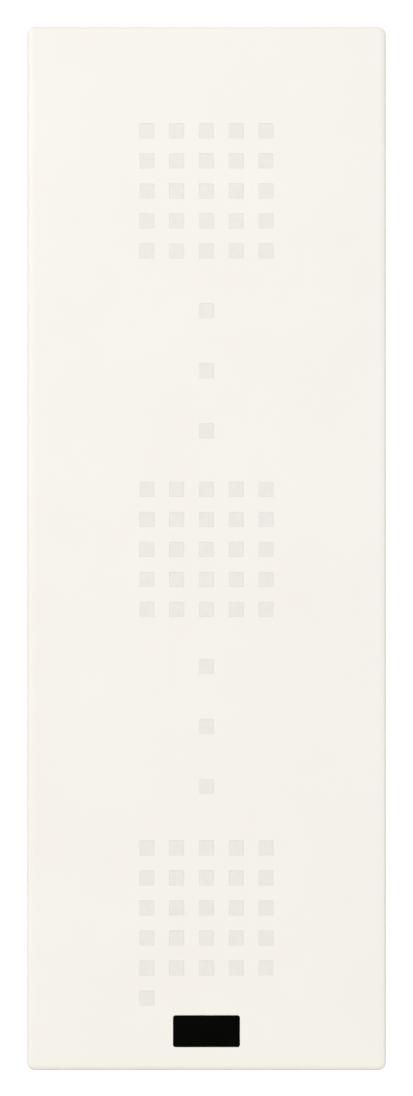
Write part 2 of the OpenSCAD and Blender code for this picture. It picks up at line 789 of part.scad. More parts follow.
front_cover();
top_light_guide();
middle_light_guide();
bottom_light_guide();
upper_link_light_guide();
lower_link_light_guide();
touch_electrodes();
camera_window();
window_gasket();
acoustic_mesh();
cover_screw_left();
cover_screw_right();
back_plate();
box_frame();
board_standoffs();
hinge_bracket();
screw_lugs();
wall_gasket();
rim_seal();
cable_grommet();
hinge_pins();
main_board();
internal_screws();
light_diodes();
light_boxes();
touch_contacts();
processor();
memory_chips();
network_shield();
power_inductors();
capacitors();
door_relay();
camera_connector();
camera_ribbon();
speaker_cradle();
speaker_frame();
speaker_magnet();
speaker_surround();
speaker_cone();
speaker_gasket();
microphone();
microphone_boot();
terminal_header();
terminal_pins();
terminal_plug();
terminal_lever_1();
terminal_lever_2();
terminal_lever_3();
terminal_lever_4();
camera_bracket();
infrared_leds();
camera_yoke();
camera_head();
lens_barrel();
lens();
sensor_board();
tamper_switch();
tamper_plunger();
setup_switch();
setup_button();
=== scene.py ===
import json
import math
import random

import bmesh
import bpy
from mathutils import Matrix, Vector
from mathutils.bvhtree import BVHTree


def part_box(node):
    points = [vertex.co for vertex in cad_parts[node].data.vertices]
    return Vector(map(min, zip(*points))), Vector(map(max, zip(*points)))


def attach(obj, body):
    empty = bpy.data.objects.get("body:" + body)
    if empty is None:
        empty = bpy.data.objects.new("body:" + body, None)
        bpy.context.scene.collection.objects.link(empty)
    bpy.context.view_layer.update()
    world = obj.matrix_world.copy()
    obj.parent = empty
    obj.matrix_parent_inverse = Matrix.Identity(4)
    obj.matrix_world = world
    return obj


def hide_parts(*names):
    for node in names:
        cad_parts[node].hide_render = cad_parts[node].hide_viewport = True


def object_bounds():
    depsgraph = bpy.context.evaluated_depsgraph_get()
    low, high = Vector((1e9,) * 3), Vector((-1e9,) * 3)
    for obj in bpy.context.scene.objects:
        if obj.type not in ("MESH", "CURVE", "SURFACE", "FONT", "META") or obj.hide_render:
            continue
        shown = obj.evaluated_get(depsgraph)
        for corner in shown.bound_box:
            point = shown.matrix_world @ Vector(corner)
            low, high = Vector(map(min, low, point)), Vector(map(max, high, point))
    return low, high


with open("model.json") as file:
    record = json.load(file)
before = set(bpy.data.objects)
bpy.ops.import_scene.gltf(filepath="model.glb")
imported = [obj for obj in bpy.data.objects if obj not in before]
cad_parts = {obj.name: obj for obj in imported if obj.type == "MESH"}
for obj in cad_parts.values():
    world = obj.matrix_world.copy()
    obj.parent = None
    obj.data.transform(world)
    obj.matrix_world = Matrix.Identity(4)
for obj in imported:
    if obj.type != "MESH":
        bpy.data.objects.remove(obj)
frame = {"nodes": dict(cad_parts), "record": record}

MM = 0.001
cad_low, cad_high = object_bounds()
record = frame["record"]
SLOT_OF = {s["node"]: s["material_slot"] for s in record["subparts"]}
BODY_OF = {n: b for b, names in record["behaviour"]["bodies"].items() for n in names}


# ---------------------------------------------------------------- camera, lights and stage

FRAME_HEIGHT = 0.21905      # height of the picture at the front face
LENS, SENSOR = 120.0, 36.0

scene = bpy.context.scene
front_y = cad_low.y
camera_data = bpy.data.cameras.new("camera")
camera_data.lens = LENS
camera_data.sensor_width = SENSOR
camera_data.clip_start, camera_data.clip_end = 0.05, 20
camera = bpy.data.objects.new("camera", camera_data)
scene.collection.objects.link(camera)
camera.location = (0, front_y - FRAME_HEIGHT * LENS / SENSOR, 0.00008)
camera.rotation_euler = (math.radians(90), 0, 0)
scene.camera = camera
scene.view_settings.view_transform = "Standard"
scene.view_settings.look = "None"


def softbox(name, place, side, power, colour=(1, 1, 1)):
    """A square softbox that aims at the middle of the object."""
    data = bpy.data.lights.new(name, "AREA")
    data.shape = "RECTANGLE"
    data.size = data.size_y = side
    data.energy = power
    data.color = colour
    light = bpy.data.objects.new(name, data)
    scene.collection.objects.link(light)
    light.location = place
    light.rotation_euler = (-Vector(place)).to_track_quat("-Z", "Y").to_euler()


softbox("key_light", (-1.4, -2.5, 0.95), 1.8, 67.5)
softbox("rim_light", (-2.9, -0.5, 0.3), 1.8, 6, (0.88, 0.95, 1))
softbox("fill_light", (2.8, -0.85, -0.1), 1.8, 31, (1, 0.99, 0.968))
softbox("top_light", (-0.3, -0.3, 2.3), 1.8, 4, (0.88, 0.95, 1))
softbox("back_light", (0.7, 2.2, 1.0), 1.9, 36)
softbox("under_light", (0.3, -0.5, -2.0), 1.6, 11, (1, 0.96, 0.87))


def white_surroundings():
    """White for the camera, and a soft grey fill for all other rays that dims in front of the object."""
    world = bpy.data.worlds.new("studio")
    scene.world = world
    world.use_nodes = True
    tree = world.node_tree
    seen = tree.nodes["Background"]
    seen.inputs["Color"].default_value = (1, 1, 1, 1)
    fill = tree.nodes.new("ShaderNodeBackground")
    fill.inputs["Color"].default_value = (1, 1, 1, 1)
    facing = tree.nodes.new("ShaderNodeVectorMath")
    facing.operation = "DOT_PRODUCT"
    facing.inputs[1].default_value = (0, -1, 0)
    side_strength, front_strength = 0.42, 0.02
    strength = tree.nodes.new("ShaderNodeMapRange")
    fade = {"From Min": 0.80, "From Max": 0.93, "To Min": side_strength, "To Max": front_strength}
    for key, value in fade.items():
        strength.inputs[key].default_value = value
    path = tree.nodes.new("ShaderNodeLightPath")
    mix = tree.nodes.new("ShaderNodeMixShader")
    tree.links.new(tree.nodes.new("ShaderNodeTexCoord").outputs["Generated"], facing.inputs[0])
    tree.links.new(facing.outputs["Value"], strength.inputs["Value"])
    tree.links.new(strength.outputs["Result"], fill.inputs["Strength"])
    tree.links.new(path.outputs["Is Camera Ray"], mix.inputs["Fac"])
    tree.links.new(fill.outputs[0], mix.inputs[1])
    tree.links.new(seen.outputs[0], mix.inputs[2])
    tree.links.new(mix.outputs[0], tree.nodes["World Output"].inputs["Surface"])


def studio_floor():
    """A pale floor that curves up into a backdrop, far enough away to take no shadow."""
    material = bpy.data.materials.new("studio_white")
    material.use_nodes = True
    shader = material.node_tree.nodes["Principled BSDF"]
    shader.inputs["Base Color"].default_value = (0.9, 0.9, 0.9, 1)
    shader.inputs["Roughness"].default_value = 0.9
    shader.inputs["Emission Color"].default_value = (1, 1, 1, 1)
    shader.inputs["Emission Strength"].default_value = 1.0
    bm = bmesh.new()
    floor_z, back_y, top_z, bend, half_width, reach = -2.6, 3.6, 3.6, 1.2, 5.0, 5.0
    steps = 12
    line = [(-reach, floor_z), (back_y - bend, floor_z)]
    for i in range(1, steps + 1):
        a = math.pi / 2 * i / steps
        line.append((back_y - bend + bend * math.sin(a), floor_z + bend * (1 - math.cos(a))))
    line.append((back_y, top_z))
    rows = [[bm.verts.new((s * half_width, y, z)) for s in (-1, 1)] for y, z in line]
    for a, b in zip(rows, rows[1:]):
        bm.faces.new((a[0], a[1], b[1], b[0])).smooth = True
    mesh = bpy.data.meshes.new("studio_floor")
    bm.to_mesh(mesh)
    bm.free()
    mesh.materials.append(material)
    floor = bpy.data.objects.new("studio_floor", mesh)
    scene.collection.objects.link(floor)
    floor.visible_diffuse = False
    floor.visible_glossy = False


white_surroundings()
studio_floor()


# ---------------------------------------------------------------- materials

class Look:
    """One procedural material. Lengths are in metres and noise scales in features per metre."""

    def __init__(self, name, rough, metal=0.0, **constants):
        self.material = bpy.data.materials.new(name)
        self.material.use_nodes = True
        self.tree = self.material.node_tree
        self.shader = self.tree.nodes["Principled BSDF"]
        self.shader.inputs["Metallic"].default_value = metal
        self.shader.inputs["Roughness"].default_value = rough
        for key, value in constants.items():
            self.shader.inputs[key.replace("_", " ")].default_value = value
        self.place = self.node("ShaderNodeTexCoord").outputs["Object"]
        self.normal = None

    def node(self, kind, **settings):
        made = self.tree.nodes.new(kind)
        for key, value in settings.items():
            setattr(made, key, value)
        return made

    def feed(self, node, **values):
        """Sets or links a node's inputs by name."""
        for key, value in values.items():
            socket = node.inputs[key.replace("_", " ")]
            if isinstance(value, bpy.types.NodeSocket):
                self.tree.links.new(value, socket)
            else:
                socket.default_value = value
        return node

    def stretched(self, x, y, z):
        node = self.node("ShaderNodeMapping")
        self.feed(node, Vector=self.place, Scale=(x, y, z))
        return node.outputs["Vector"]

    def noise(self, scale, detail=2.0, where=None):
        node = self.node("ShaderNodeTexNoise")
        self.feed(node, Vector=where or self.place, Scale=scale, Detail=detail)
        return node.outputs["Fac"]

    def cells(self, scale):
        node = self.node("ShaderNodeTexVoronoi", feature="F1")
        self.feed(node, Vector=self.place, Scale=scale)
        return node.outputs["Distance"]

    def bands(self, scale, direction, shape="SIN"):
        node = self.node("ShaderNodeTexWave", bands_direction=direction, wave_profile=shape)
        self.feed(node, Vector=self.place, Scale=scale, Distortion=0.0)
        return node.outputs["Fac"]

    def spread(self, value, low, high, start=0.0, end=1.0):
        """Maps start..end of the value to low..high."""
        node = self.node("ShaderNodeMapRange")
        self.feed(node, Value=value, From_Min=start, From_Max=end, To_Min=low, To_Max=high)
        return node.outputs["Result"]

    def maths(self, kind, a, b):
        node = self.node("ShaderNodeMath", operation=kind)
        for socket, value in zip(node.inputs, (a, b)):
            if isinstance(value, bpy.types.NodeSocket):
                self.tree.links.new(value, socket)
            else:
                socket.default_value = value
        return node.outputs["Value"]

    def tone(self, value, dark, light, start=0.3, end=0.7):
        """A colour from dark at start of the value to light at its end."""
        node = self.node("ShaderNodeValToRGB")
        first, last = node.color_ramp.elements
        first.position, last.position = start, end
        first.color, last.color = (*dark, 1), (*light, 1)
        self.tree.links.new(value, node.inputs["Fac"])
        return node.outputs["Color"]

    def blend(self, fac, a, b):
        node = self.node("ShaderNodeMix", data_type="RGBA")
        for index, value in ((0, fac), (6, a), (7, b)):
            if isinstance(value, bpy.types.NodeSocket):
                self.tree.links.new(value, node.inputs[index])
            else:
                node.inputs[index].default_value = value if index == 0 else (*value, 1)
        return node.outputs[2]

    def colour(self, value):
        self.tree.links.new(value, self.shader.inputs["Base Color"])

    def rough(self, value):
        self.tree.links.new(value, self.shader.inputs["Roughness"])

    def relief(self, height, depth):
        """Adds a bump of that depth on top of those before it."""
        node = self.node("ShaderNodeBump")
        self.feed(node, Height=height, Distance=depth, Strength=1.0)
        if self.normal:
            self.tree.links.new(self.normal, node.inputs["Normal"])
        self.normal = node.outputs["Normal"]
        self.tree.links.new(self.normal, self.shader.inputs["Normal"])


def scaled(colour, factor):
    return tuple(min(1.0, c * factor) for c in colour)


def moulded(name, colour, rough=0.45, grain=3500, depth=3e-6, cloud=0.012, **constants):
    """Injection-moulded plastic: faint clouding, uneven gloss and a fine spark-eroded grain."""
    look = Look(name, rough, **constants)
    cloud_noise = look.noise(60, 3)
    look.colour(look.tone(cloud_noise, scaled(colour, 1 - cloud), scaled(colour, 1 + cloud)))
    look.rough(look.spread(look.noise(400, 4), rough - 0.05, rough + 0.05, 0.3, 0.7))
    look.relief(look.noise(90, 2), 1.2e-5)
    look.relief(look.noise(grain, 3), depth)
    return look


def metal(name, colour, rough=0.3, brush=(400, 400, 9000), depth=1.5e-6, **constants):
    """Drawn or brushed metal: fine lines one way, with some staining."""
    look = Look(name, rough, metal=1.0, **constants)
    lines = look.noise(1.0, 4, look.stretched(*brush))
    stain = look.noise(300, 3)
    clean = look.tone(lines, scaled(colour, 0.86), scaled(colour, 1.08))
    look.colour(look.blend(look.spread(stain, 0.0, 0.5, 0.4, 0.75), clean, scaled(colour, 0.72)))
    look.rough(look.spread(lines, rough - 0.08, rough + 0.12, 0.3, 0.7))
    look.relief(lines, depth)
    return look


def cream_cover():
    """The cover's cream plastic: warm clouding and a fine eroded grain."""
    look = Look("cream_cover", 0.5, IOR=1.46)
    base, warm = (0.905, 0.876, 0.817), (0.885, 0.853, 0.789)
    cloud = look.noise(45, 3)
    look.colour(look.tone(cloud, warm, base, 0.2, 0.8))
    look.rough(look.spread(look.noise(500, 4), 0.44, 0.54, 0.3, 0.7))
    look.relief(look.noise(60, 2), 8e-6)
    look.relief(look.noise(4200, 3), 2.2e-6)
    look.relief(look.cells(2600), 1.2e-6)
    return look


def light_pips():
    """Slightly greyer, translucent plastic of the light guides."""
    look = Look("light_pips", 0.42, IOR=1.49, Subsurface_Weight=0.08, Subsurface_Scale=0.0006)
    look.colour(look.tone(look.noise(700, 3), (0.812, 0.789, 0.742), (0.836, 0.812, 0.766)))
    look.rough(look.spread(look.noise(900, 3), 0.38, 0.48, 0.3, 0.7))
    look.relief(look.noise(6000, 3), 1.5e-6)
    return look


def smoked_acrylic():
    """Near-black glossy acrylic with faint handling marks in its gloss."""
    look = Look("smoked_acrylic", 0.08, IOR=1.49, Coat_Weight=0.3, Coat_Roughness=0.03)
    look.colour(look.tone(look.noise(200, 3), (0.0012, 0.0014, 0.0008), (0.0022, 0.0026, 0.0016)))
    look.rough(look.spread(look.noise(1500, 4), 0.05, 0.13, 0.3, 0.7))
    look.relief(look.noise(120, 2), 4e-6)
    return look


def closed_foam(name, dark, light, scale=2200):
    """Foam: a froth of small cells, with painted shade darkening their hollows and the rims between them
    painted lighter.
    """
    look = Look(name, 0.92, Specular_IOR_Level=0.25)
    froth = look.cells(scale)
    patches = look.tone(look.noise(150, 4), dark, light)
    # painted shade: the cell hollows take the darker mottled tone, and the raised rims between them a
    # lighter one
    look.colour(look.blend(look.spread(froth, 0.0, 1.0, 0.1, 0.6), patches, scaled(light, 1.5)))
    look.rough(look.spread(froth, 0.8, 1.0))
    look.relief(look.noise(180, 3), 6e-5)
    look.relief(froth, 1.1e-4)
    return look


def soft_rubber(name, colour):
    """Rubber: matt, with a little bloom and dust in it."""
    look = Look(name, 0.62, Specular_IOR_Level=0.35, Sheen_Weight=0.12, Sheen_Roughness=0.5)
    dust = look.spread(look.noise(5200, 4), 0.0, 0.35, 0.55, 0.8)
    mottled = look.tone(look.noise(220, 4), scaled(colour, 0.75), scaled(colour, 1.3))
    look.colour(look.blend(dust, mottled, (0.09, 0.088, 0.083)))
    look.rough(look.spread(look.noise(700, 4), 0.5, 0.75, 0.3, 0.7))
    look.relief(look.noise(300, 3), 1.5e-5)
    look.relief(look.noise(4500, 3), 4e-6)
    return look


def solder_mask():
    """Green lacquer over glass weave, with faint copper planes under it."""
    look = Look("solder_mask", 0.38, IOR=1.5, Coat_Weight=0.35, Coat_Roughness=0.25)
    planes = look.spread(look.cells(110), 0.0, 1.0, 0.32, 0.36)
    mask = look.blend(planes, (0.010, 0.118, 0.052), (0.007, 0.082, 0.038))
    weave = look.maths("MULTIPLY", look.bands(330, "X"), look.bands(330, "Z"))
    look.colour(look.blend(look.spread(weave, 0.0, 0.12), mask, (0.03, 0.19, 0.09)))
    look.rough(look.spread(look.noise(900, 4), 0.3, 0.46, 0.3, 0.7))
    look.relief(weave, 3e-6)
    look.relief(look.noise(500, 3), 6e-6)
    return look


def woven_mesh():
    """Black cloth with its threads crossing in relief, painted lighter on their crests and darker
    between them as painted highlight and shade.
    """
    look = Look("woven_mesh", 0.7, Sheen_Weight=0.2, Sheen_Roughness=0.4)
    weave = look.maths("MAXIMUM", look.bands(560, "Y"), look.bands(560, "Z"))
    # painted highlight and shade: the colour follows the height of the weave, lighter on the crests and
    # darker between the threads
    look.colour(look.tone(weave, (0.006, 0.006, 0.007), (0.075, 0.076, 0.08), 0.35, 0.95))
    look.rough(look.spread(look.noise(900, 2), 0.6, 0.85))
    look.relief(weave, 8e-5)
    return look


def coated_glass():
    """Dark lens glass under a violet coating."""
    look = Look("coated_glass", 0.03, IOR=1.52, Coat_Weight=1.0, Coat_Roughness=0.02,
                Coat_Tint=(0.62, 0.5, 0.95, 1))
    look.colour(look.tone(look.noise(900, 2), (0.006, 0.010, 0.020), (0.016, 0.022, 0.045)))
    look.rough(look.spread(look.noise(1200, 2), 0.02, 0.06))
    return look


def amber_film():
    """Amber film with the ribbon's tracks showing through."""
    look = Look("amber_polyimide", 0.28, IOR=1.6, Coat_Weight=0.4, Coat_Roughness=0.15)
    tracks = look.bands(420, "X", "TRI")
    look.colour(look.tone(tracks, (0.20, 0.062, 0.008), (0.52, 0.21, 0.035), 0.35, 0.6))
    look.rough(look.spread(look.noise(800, 3), 0.2, 0.36, 0.3, 0.7))
    look.relief(tracks, 1e-5)
    return look


def copper_film():
    """Copper with patches of patina."""
    look = metal("copper_film", (0.80, 0.43, 0.24), 0.34, (200, 200, 3000), 2e-6)
    patina = look.spread(look.noise(260, 5), 0.0, 0.7, 0.5, 0.75)
    fresh = look.shader.inputs["Base Color"].links[0].from_socket
    look.colour(look.blend(patina, fresh, (0.42, 0.19, 0.10)))
    return look


LOOKS = {
    "cream_plastic": cream_cover(),
    "light_guide_plastic": light_pips(),
    "window_acrylic": smoked_acrylic(),
    "copper_film": copper_film(),
    "black_rubber": soft_rubber("black_rubber", (0.018, 0.018, 0.020)),
    "foam": closed_foam("grey_foam", (0.030, 0.031, 0.033), (0.055, 0.056, 0.060)),
    "mesh_fabric": woven_mesh(),
    "stainless_steel": metal("stainless_steel", (0.62, 0.61, 0.59), 0.27),
    "zinc_steel": metal("zinc_steel", (0.55, 0.56, 0.55), 0.32, (2500, 2500, 2500)),
    "box_plastic": moulded("box_plastic", (0.66, 0.65, 0.615), 0.5, 2600, 6e-6),
    "board_laminate": solder_mask(),
    "diode_resin": moulded("diode_resin", (0.78, 0.66, 0.16), 0.3, 9000, 2e-6, Subsurface_Weight=0.15,
                           Subsurface_Scale=0.0004),
    "white_plastic": moulded("white_plastic", (0.83, 0.83, 0.81), 0.5, 3000, 5e-6),
    "chip_resin": moulded("chip_resin", (0.014, 0.014, 0.016), 0.55, 5200, 9e-6, cloud=0.2),
    "tinned_steel": metal("tinned_steel", (0.66, 0.65, 0.60), 0.36, (900, 900, 900), 4e-6),
    "ferrite": moulded("ferrite", (0.045, 0.045, 0.050), 0.6, 3600, 1.8e-5, cloud=0.2),
    "capacitor_can": metal("capacitor_can", (0.72, 0.73, 0.74), 0.22, (300, 6000, 300)),
    "relay_plastic": moulded("relay_plastic", (0.66, 0.63, 0.54), 0.3, 4200, 3e-6),
    "amber_film": amber_film(),
    "dark_plastic": moulded("dark_plastic", (0.030, 0.032, 0.035), 0.48, 3200, 7e-6, cloud=0.12),
    "painted_steel": moulded("painted_steel", (0.14, 0.145, 0.155), 0.5, 1400, 1.4e-5, cloud=0.1),
    "magnet_metal": metal("magnet_metal", (0.20, 0.20, 0.21), 0.42, (1500, 1500, 1500), 4e-6),
    "cone_paper": moulded("cone_paper", (0.022, 0.022, 0.024), 0.8, 1700, 3e-5, cloud=0.3),
    "green_plastic": moulded("green_plastic", (0.035, 0.215, 0.075), 0.4, 3400, 5e-6, cloud=0.05),
    "contact_brass": metal("contact_brass", (0.80, 0.63, 0.32), 0.26, (2200, 2200, 2200)),
    "orange_plastic": moulded("orange_plastic", (0.68, 0.20, 0.022), 0.38, 3400, 5e-6, cloud=0.05),
    "infrared_resin": moulded("infrared_resin", (0.020, 0.008, 0.035), 0.12, 6000, 1e-6, cloud=0.2,
                              Coat_Weight=0.6, Coat_Roughness=0.05),
    "lens_glass": coated_glass(),
    "black_anodised": metal("black_anodised", (0.020, 0.020, 0.022), 0.36, (9000, 9000, 9000), 3e-6),
}
CERAMIC = moulded("ceramic", (0.36, 0.24, 0.14), 0.42, 4200, 6e-6, cloud=0.12)
LACQUERED_COPPER = moulded("lacquered_copper", (0.022, 0.205, 0.095), 0.34, 5200, 3e-6, cloud=0.06,
                           Coat_Weight=0.35, Coat_Roughness=0.25)


# ---------------------------------------------------------------- mesh helpers

SHARP = math.radians(32)


def shade(bm):
    """Smooth shading that breaks at the sharp edges."""
    for face in bm.faces:
        face.smooth = True
    for edge in bm.edges:
        edge.smooth = len(edge.link_faces) == 2 and edge.calc_face_angle(0) < SHARP


def soften(bm, width, edges):
    """Rounds the sharp ones of the edges by that width."""
    sharp = [e for e in edges if len(e.link_faces) == 2 and e.calc_face_angle(0) > SHARP]
    if sharp and width:
        bmesh.ops.bevel(bm, geom=sharp, offset=width, offset_type="OFFSET", segments=2, profile=0.5,
                        affect="EDGES", clamp_overlap=False)


def publish(bm, name, body, slot, looks=None, replaces=()):
    """Turns the mesh into a piece that rides on a body."""
    mesh = bpy.data.meshes.new(name)
    bm.to_mesh(mesh)
    bm.free()
    for look in looks or [LOOKS[slot]]:
        mesh.materials.append(look.material)
    piece = bpy.data.objects.new(name, mesh)
    scene.collection.objects.link(piece)
    flatten = piece.modifiers.new("even_normals", "WEIGHTED_NORMAL")
    flatten.keep_sharp = True
    flatten.weight = 80
    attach(piece, body)
    if replaces:
        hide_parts(*replaces)


def cad_copy(node):
    """The node's mesh, joined up again where the import split it."""
    bm = bmesh.new()
    bm.from_mesh(frame["nodes"][node].data)
    bmesh.ops.remove_doubles(bm, verts=bm.verts, dist=2e-6)
    bmesh.ops.dissolve_limit(bm, angle_limit=math.radians(0.4), verts=bm.verts, edges=bm.edges)
    return bm


def finished(node, width):
    """A copy of a CAD node's shape with its sharp edges rounded as a mould or a tool leaves them."""
    bm = cad_copy(node)
    soften(bm, width * MM, bm.edges)
    shade(bm)
    for face in bm.faces:
        face.material_index = 0
    publish(bm, node + "_finished", BODY_OF[node], SLOT_OF[node], replaces=(node,))


def islands(node):
    """The boxes of a node's separate solids, in millimetres."""
    bm = cad_copy(node)
    left, found = set(bm.verts), []
    while left:
        group, stack = [], [left.pop()]
        while stack:
            vert = stack.pop()
            group.append(vert.co / MM)
            for edge in vert.link_edges:
                other = edge.other_vert(vert)
                if other in left:
                    left.remove(other)
                    stack.append(other)
        found.append((Vector(map(min, zip(*group))), Vector(map(max, zip(*group)))))
    bm.free()
    return sorted(found, key=lambda box: (-round(box[0].z, 2), round(box[0].x, 2)))


def box_mm(node):
    """The low and high corners of a node's box, in millimetres."""
    low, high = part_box(node)
    return Vector(low) / MM, Vector(high) / MM


def mitred(points):
    """Each point of a flat line, with the sideways vector to a parallel line one unit away."""
    for i, point in enumerate(points):
        before = (point - points[i - 1]).normalized() if i else None
        after = (points[i + 1] - point).normalized() if i + 1 < len(points) else None
        ahead = ((before or after) + (after or before)).normalized()
        yield point, Vector((-ahead.y, ahead.x)) / max(0.5, ahead.dot(after or before))


class Drawing:
    """A mesh drawn in millimetres out of closed solids; index picks the material of what comes next."""

    def __init__(self):
        self.bm = bmesh.new()
        self.index = 0

    def skin(self, loops):
        """Closes each loop of vertices with a face."""
        made = [self.bm.faces.new(loop) for loop in loops]
        for face in made:
            face.material_index = self.index
        return made

    def block(self, x, y, z, edge=0.0):
        """A box between the ranges x, y and z, with its edges rounded by edge."""
        v = [self.bm.verts.new((a, b, c)) for a in x for b in y for c in z]
        order = ((0, 1, 3, 2), (4, 6, 7, 5), (0, 4, 5, 1), (2, 3, 7, 6), (0, 2, 6, 4), (1, 5, 7, 3))
        made = self.skin([[v[i] for i in loop] for loop in order])
        if edge:
            soften(self.bm, edge, {e for face in made for e in face.edges})

    def prism(self, outline, along):
        """Pushes a closed outline of points along a vector."""
        near = [self.bm.verts.new(point) for point in outline]
        far = [self.bm.verts.new(Vector(point) + Vector(along)) for point in outline]
        self.skin([near, far[::-1]])
        self.skin([[near[i - 1], far[i - 1], far[i], near[i]] for i in range(len(near))])

    def turned(self, profile, at, axis=(0, -1, 0), steps=20, loop=False):
        """Turns (radius, height) points about an axis; loop joins the last point to the first."""
        along = Vector(axis)
        u = along.orthogonal().normalized()
        v = along.cross(u)
        rings = []
        for r, h in profile:
            centre = Vector(at) + along * h
            angles = [2 * math.pi * i / steps for i in range(steps if r else 1)]
            spokes = [(u * math.cos(t) + v * math.sin(t)) * r for t in angles]
            rings.append([self.bm.verts.new(centre + spoke) for spoke in spokes])
        for a, b in zip(rings, rings[1:] + ([rings[0]] if loop else [])):
            for i in range(steps):
                j = (i + 1) % steps
                corners = [a[i % len(a)], b[i % len(b)], b[j % len(b)], a[j % len(a)]]
                self.skin([list(dict.fromkeys(corners))])
        if not loop:
            for ring in (rings[0], rings[-1]):
                if len(ring) > 1:
                    self.skin([ring])

    def ring(self, radii, heights, at, axis=(0, -1, 0), steps=20):
        """A flat ring between two radii and two heights."""
        (a, b), (c, d) = radii, heights
        self.turned([(a, c), (a, d), (b, d), (b, c)], at, axis, steps, loop=True)

    def bead(self, radius, height, size, at, axis=(0, -1, 0), sides=8):
        """A round bead that runs in a circle; size is half its width and half its height."""
        steps = 48
        profile = [(radius + size[0] * math.cos(2 * math.pi * k / sides),
                    height + size[1] * math.sin(2 * math.pi * k / sides)) for k in range(sides)]
        self.turned(profile, at, axis, steps, loop=True)

    def wire(self, points, radius, sides=6):
        """A round wire along the points, with flat ends."""
        points = [Vector(p) for p in points]
        across = (points[1] - points[0]).orthogonal().normalized()
        rings = []
        for i, point in enumerate(points):
            ahead = (points[min(i + 1, len(points) - 1)] - points[max(i - 1, 0)]).normalized()
            across = (across - ahead * across.dot(ahead)).normalized()
            other = ahead.cross(across)
            angles = [2 * math.pi * k / sides for k in range(sides)]
            spokes = [(across * math.cos(t) + other * math.sin(t)) * radius for t in angles]
            rings.append([self.bm.verts.new(point + spoke) for spoke in spokes])
        for a, b in zip(rings, rings[1:]):
            self.skin([[a[k], a[(k + 1) % sides], b[(k + 1) % sides], b[k]] for k in range(sides)])
        self.skin([rings[0][::-1], rings[-1]])

    def strip(self, points, width, y):
        """A flat track in the front view, mitred at its bends, between two depths."""
        rings = []
        for point, side in mitred(points):
            near, far = point - side * width / 2, point + side * width / 2
            corners = ((near, y[0]), (far, y[0]), (far, y[1]), (near, y[1]))
            rings.append([self.bm.verts.new((at.x, depth, at.y)) for at, depth in corners])
        for a, b in zip(rings, rings[1:]):
            self.skin([[a[k], a[(k + 1) % 4], b[(k + 1) % 4], b[k]] for k in range(4)])
        self.skin([rings[0][::-1], rings[-1]])

    def publish(self, name, body, slot, looks=None, replaces=()):
        bmesh.ops.recalc_face_normals(self.bm, faces=self.bm.faces)
        shade(self.bm)
        bmesh.ops.scale(self.bm, vec=(MM, MM, MM), verts=self.bm.verts)
        publish(self.bm, name, body, slot, looks, replaces)


def middle(box):
    """The middle of a pair of corners."""
    return (box[0] + box[1]) / 2


# ---------------------------------------------------------------- CAD shapes with finished edges

FIELD_GUIDES = ("top_light_guide", "middle_light_guide", "bottom_light_guide")
LINK_GUIDES = ("upper_link_light_guide", "lower_link_light_guide")
GUIDES = FIELD_GUIDES + LINK_GUIDES
GUIDE_EDGE, USUAL_EDGE = 0.015, 0.06     # millimetres
EDGE_WIDTH = {
    "front_cover": 0.02, "camera_window": 0.04, "touch_electrodes": 0.02, "back_plate": 0.2,
    "box_frame": 0.15, "wall_gasket": 0.12, "rim_seal": 0.12, "cable_grommet": 0.15, "main_board": 0.05,
    "door_relay": 0.3, "capacitors": 0.25, "processor": 0.12, "network_shield": 0.1,
    "power_inductors": 0.3, "speaker_gasket": 0.15, "lens": 0.0,
    **{guide: GUIDE_EDGE for guide in GUIDES},
}
REDRAWN = ("touch_contacts", "light_diodes", "acoustic_mesh")

for name in frame["nodes"]:
    if name not in REDRAWN:
        finished(name, EDGE_WIDTH.get(name, USUAL_EDGE))


# ---------------------------------------------------------------- inside of the cover

ROOT = 0.05                                    # how far a raised detail reaches into what it stands on
skin_y = box_mm("touch_electrodes")[0].y       # inner face of the cover
board_low, board_high = box_mm("main_board")
board_y = board_low.y                          # component side of the board


def cover_ribs():
    """Low ribs across the inside of the cover and rings left by the ejector pins."""
    drawing = Drawing()
    rib_t, rib_h, rib_x, rib_end, edge = 0.6, 0.6, 31.5, 91, 0.08
    depth = (skin_y - ROOT, skin_y + rib_h)
    for z in (rib_end, 53.2, 18.2, -18.4, -53.4):
        drawing.block((-rib_x, rib_x), depth, (z - rib_t / 2, z + rib_t / 2), edge)
    for side in (-1, 1):
        x = side * (rib_x + rib_t / 2)
        drawing.block((x - rib_t / 2, x + rib_t / 2), depth, (-rib_end, rib_end), edge)
    pin_r, pin_x, mark_w, mark_h = 1.9, 25, 0.3, 0.07
    for x in (-pin_x, pin_x):
        for z in (80, 44, 6, -12, -60, -80):
            drawing.ring((pin_r, pin_r + mark_w), (-ROOT, mark_h), (x, skin_y, z), (0, 1, 0), 28)
    drawing.publish("cover_ribs", "cover", "cream_plastic")


def guide_clips():
    """Snap hooks that hold each light guide against the cover."""
    drawing = Drawing()
    field_low, field_high = box_mm("middle_light_guide")
    field_half = (field_high.z - field_low.z) / 2
    half_w, play, outer, overlap, lip_t, lip_gap, edge = 1.2, 0.08, 0.9, 0.35, 0.3, 0.02, 0.06
    for guide in GUIDES:
        low, high = box_mm(guide)
        plate_x = min(-low.x, high.x)
        if guide in FIELD_GUIDES:
            centre, reach = high.z - field_half, 9
        else:
            centre, reach = (low.z + high.z) / 2, 6
        for side in (-1, 1):
            for z in (centre - reach, centre + reach):
                foot = sorted((side * (plate_x + play), side * (plate_x + outer)))
                lip = sorted((side * (plate_x - overlap), side * (plate_x + outer)))
                span = (z - half_w, z + half_w)
                drawing.block(foot, (skin_y - ROOT, high.y + lip_t), span, edge)
                drawing.block(lip, (high.y + lip_gap, high.y + lip_gap + lip_t), span, edge)
    drawing.publish("guide_clips", "cover", "cream_plastic")


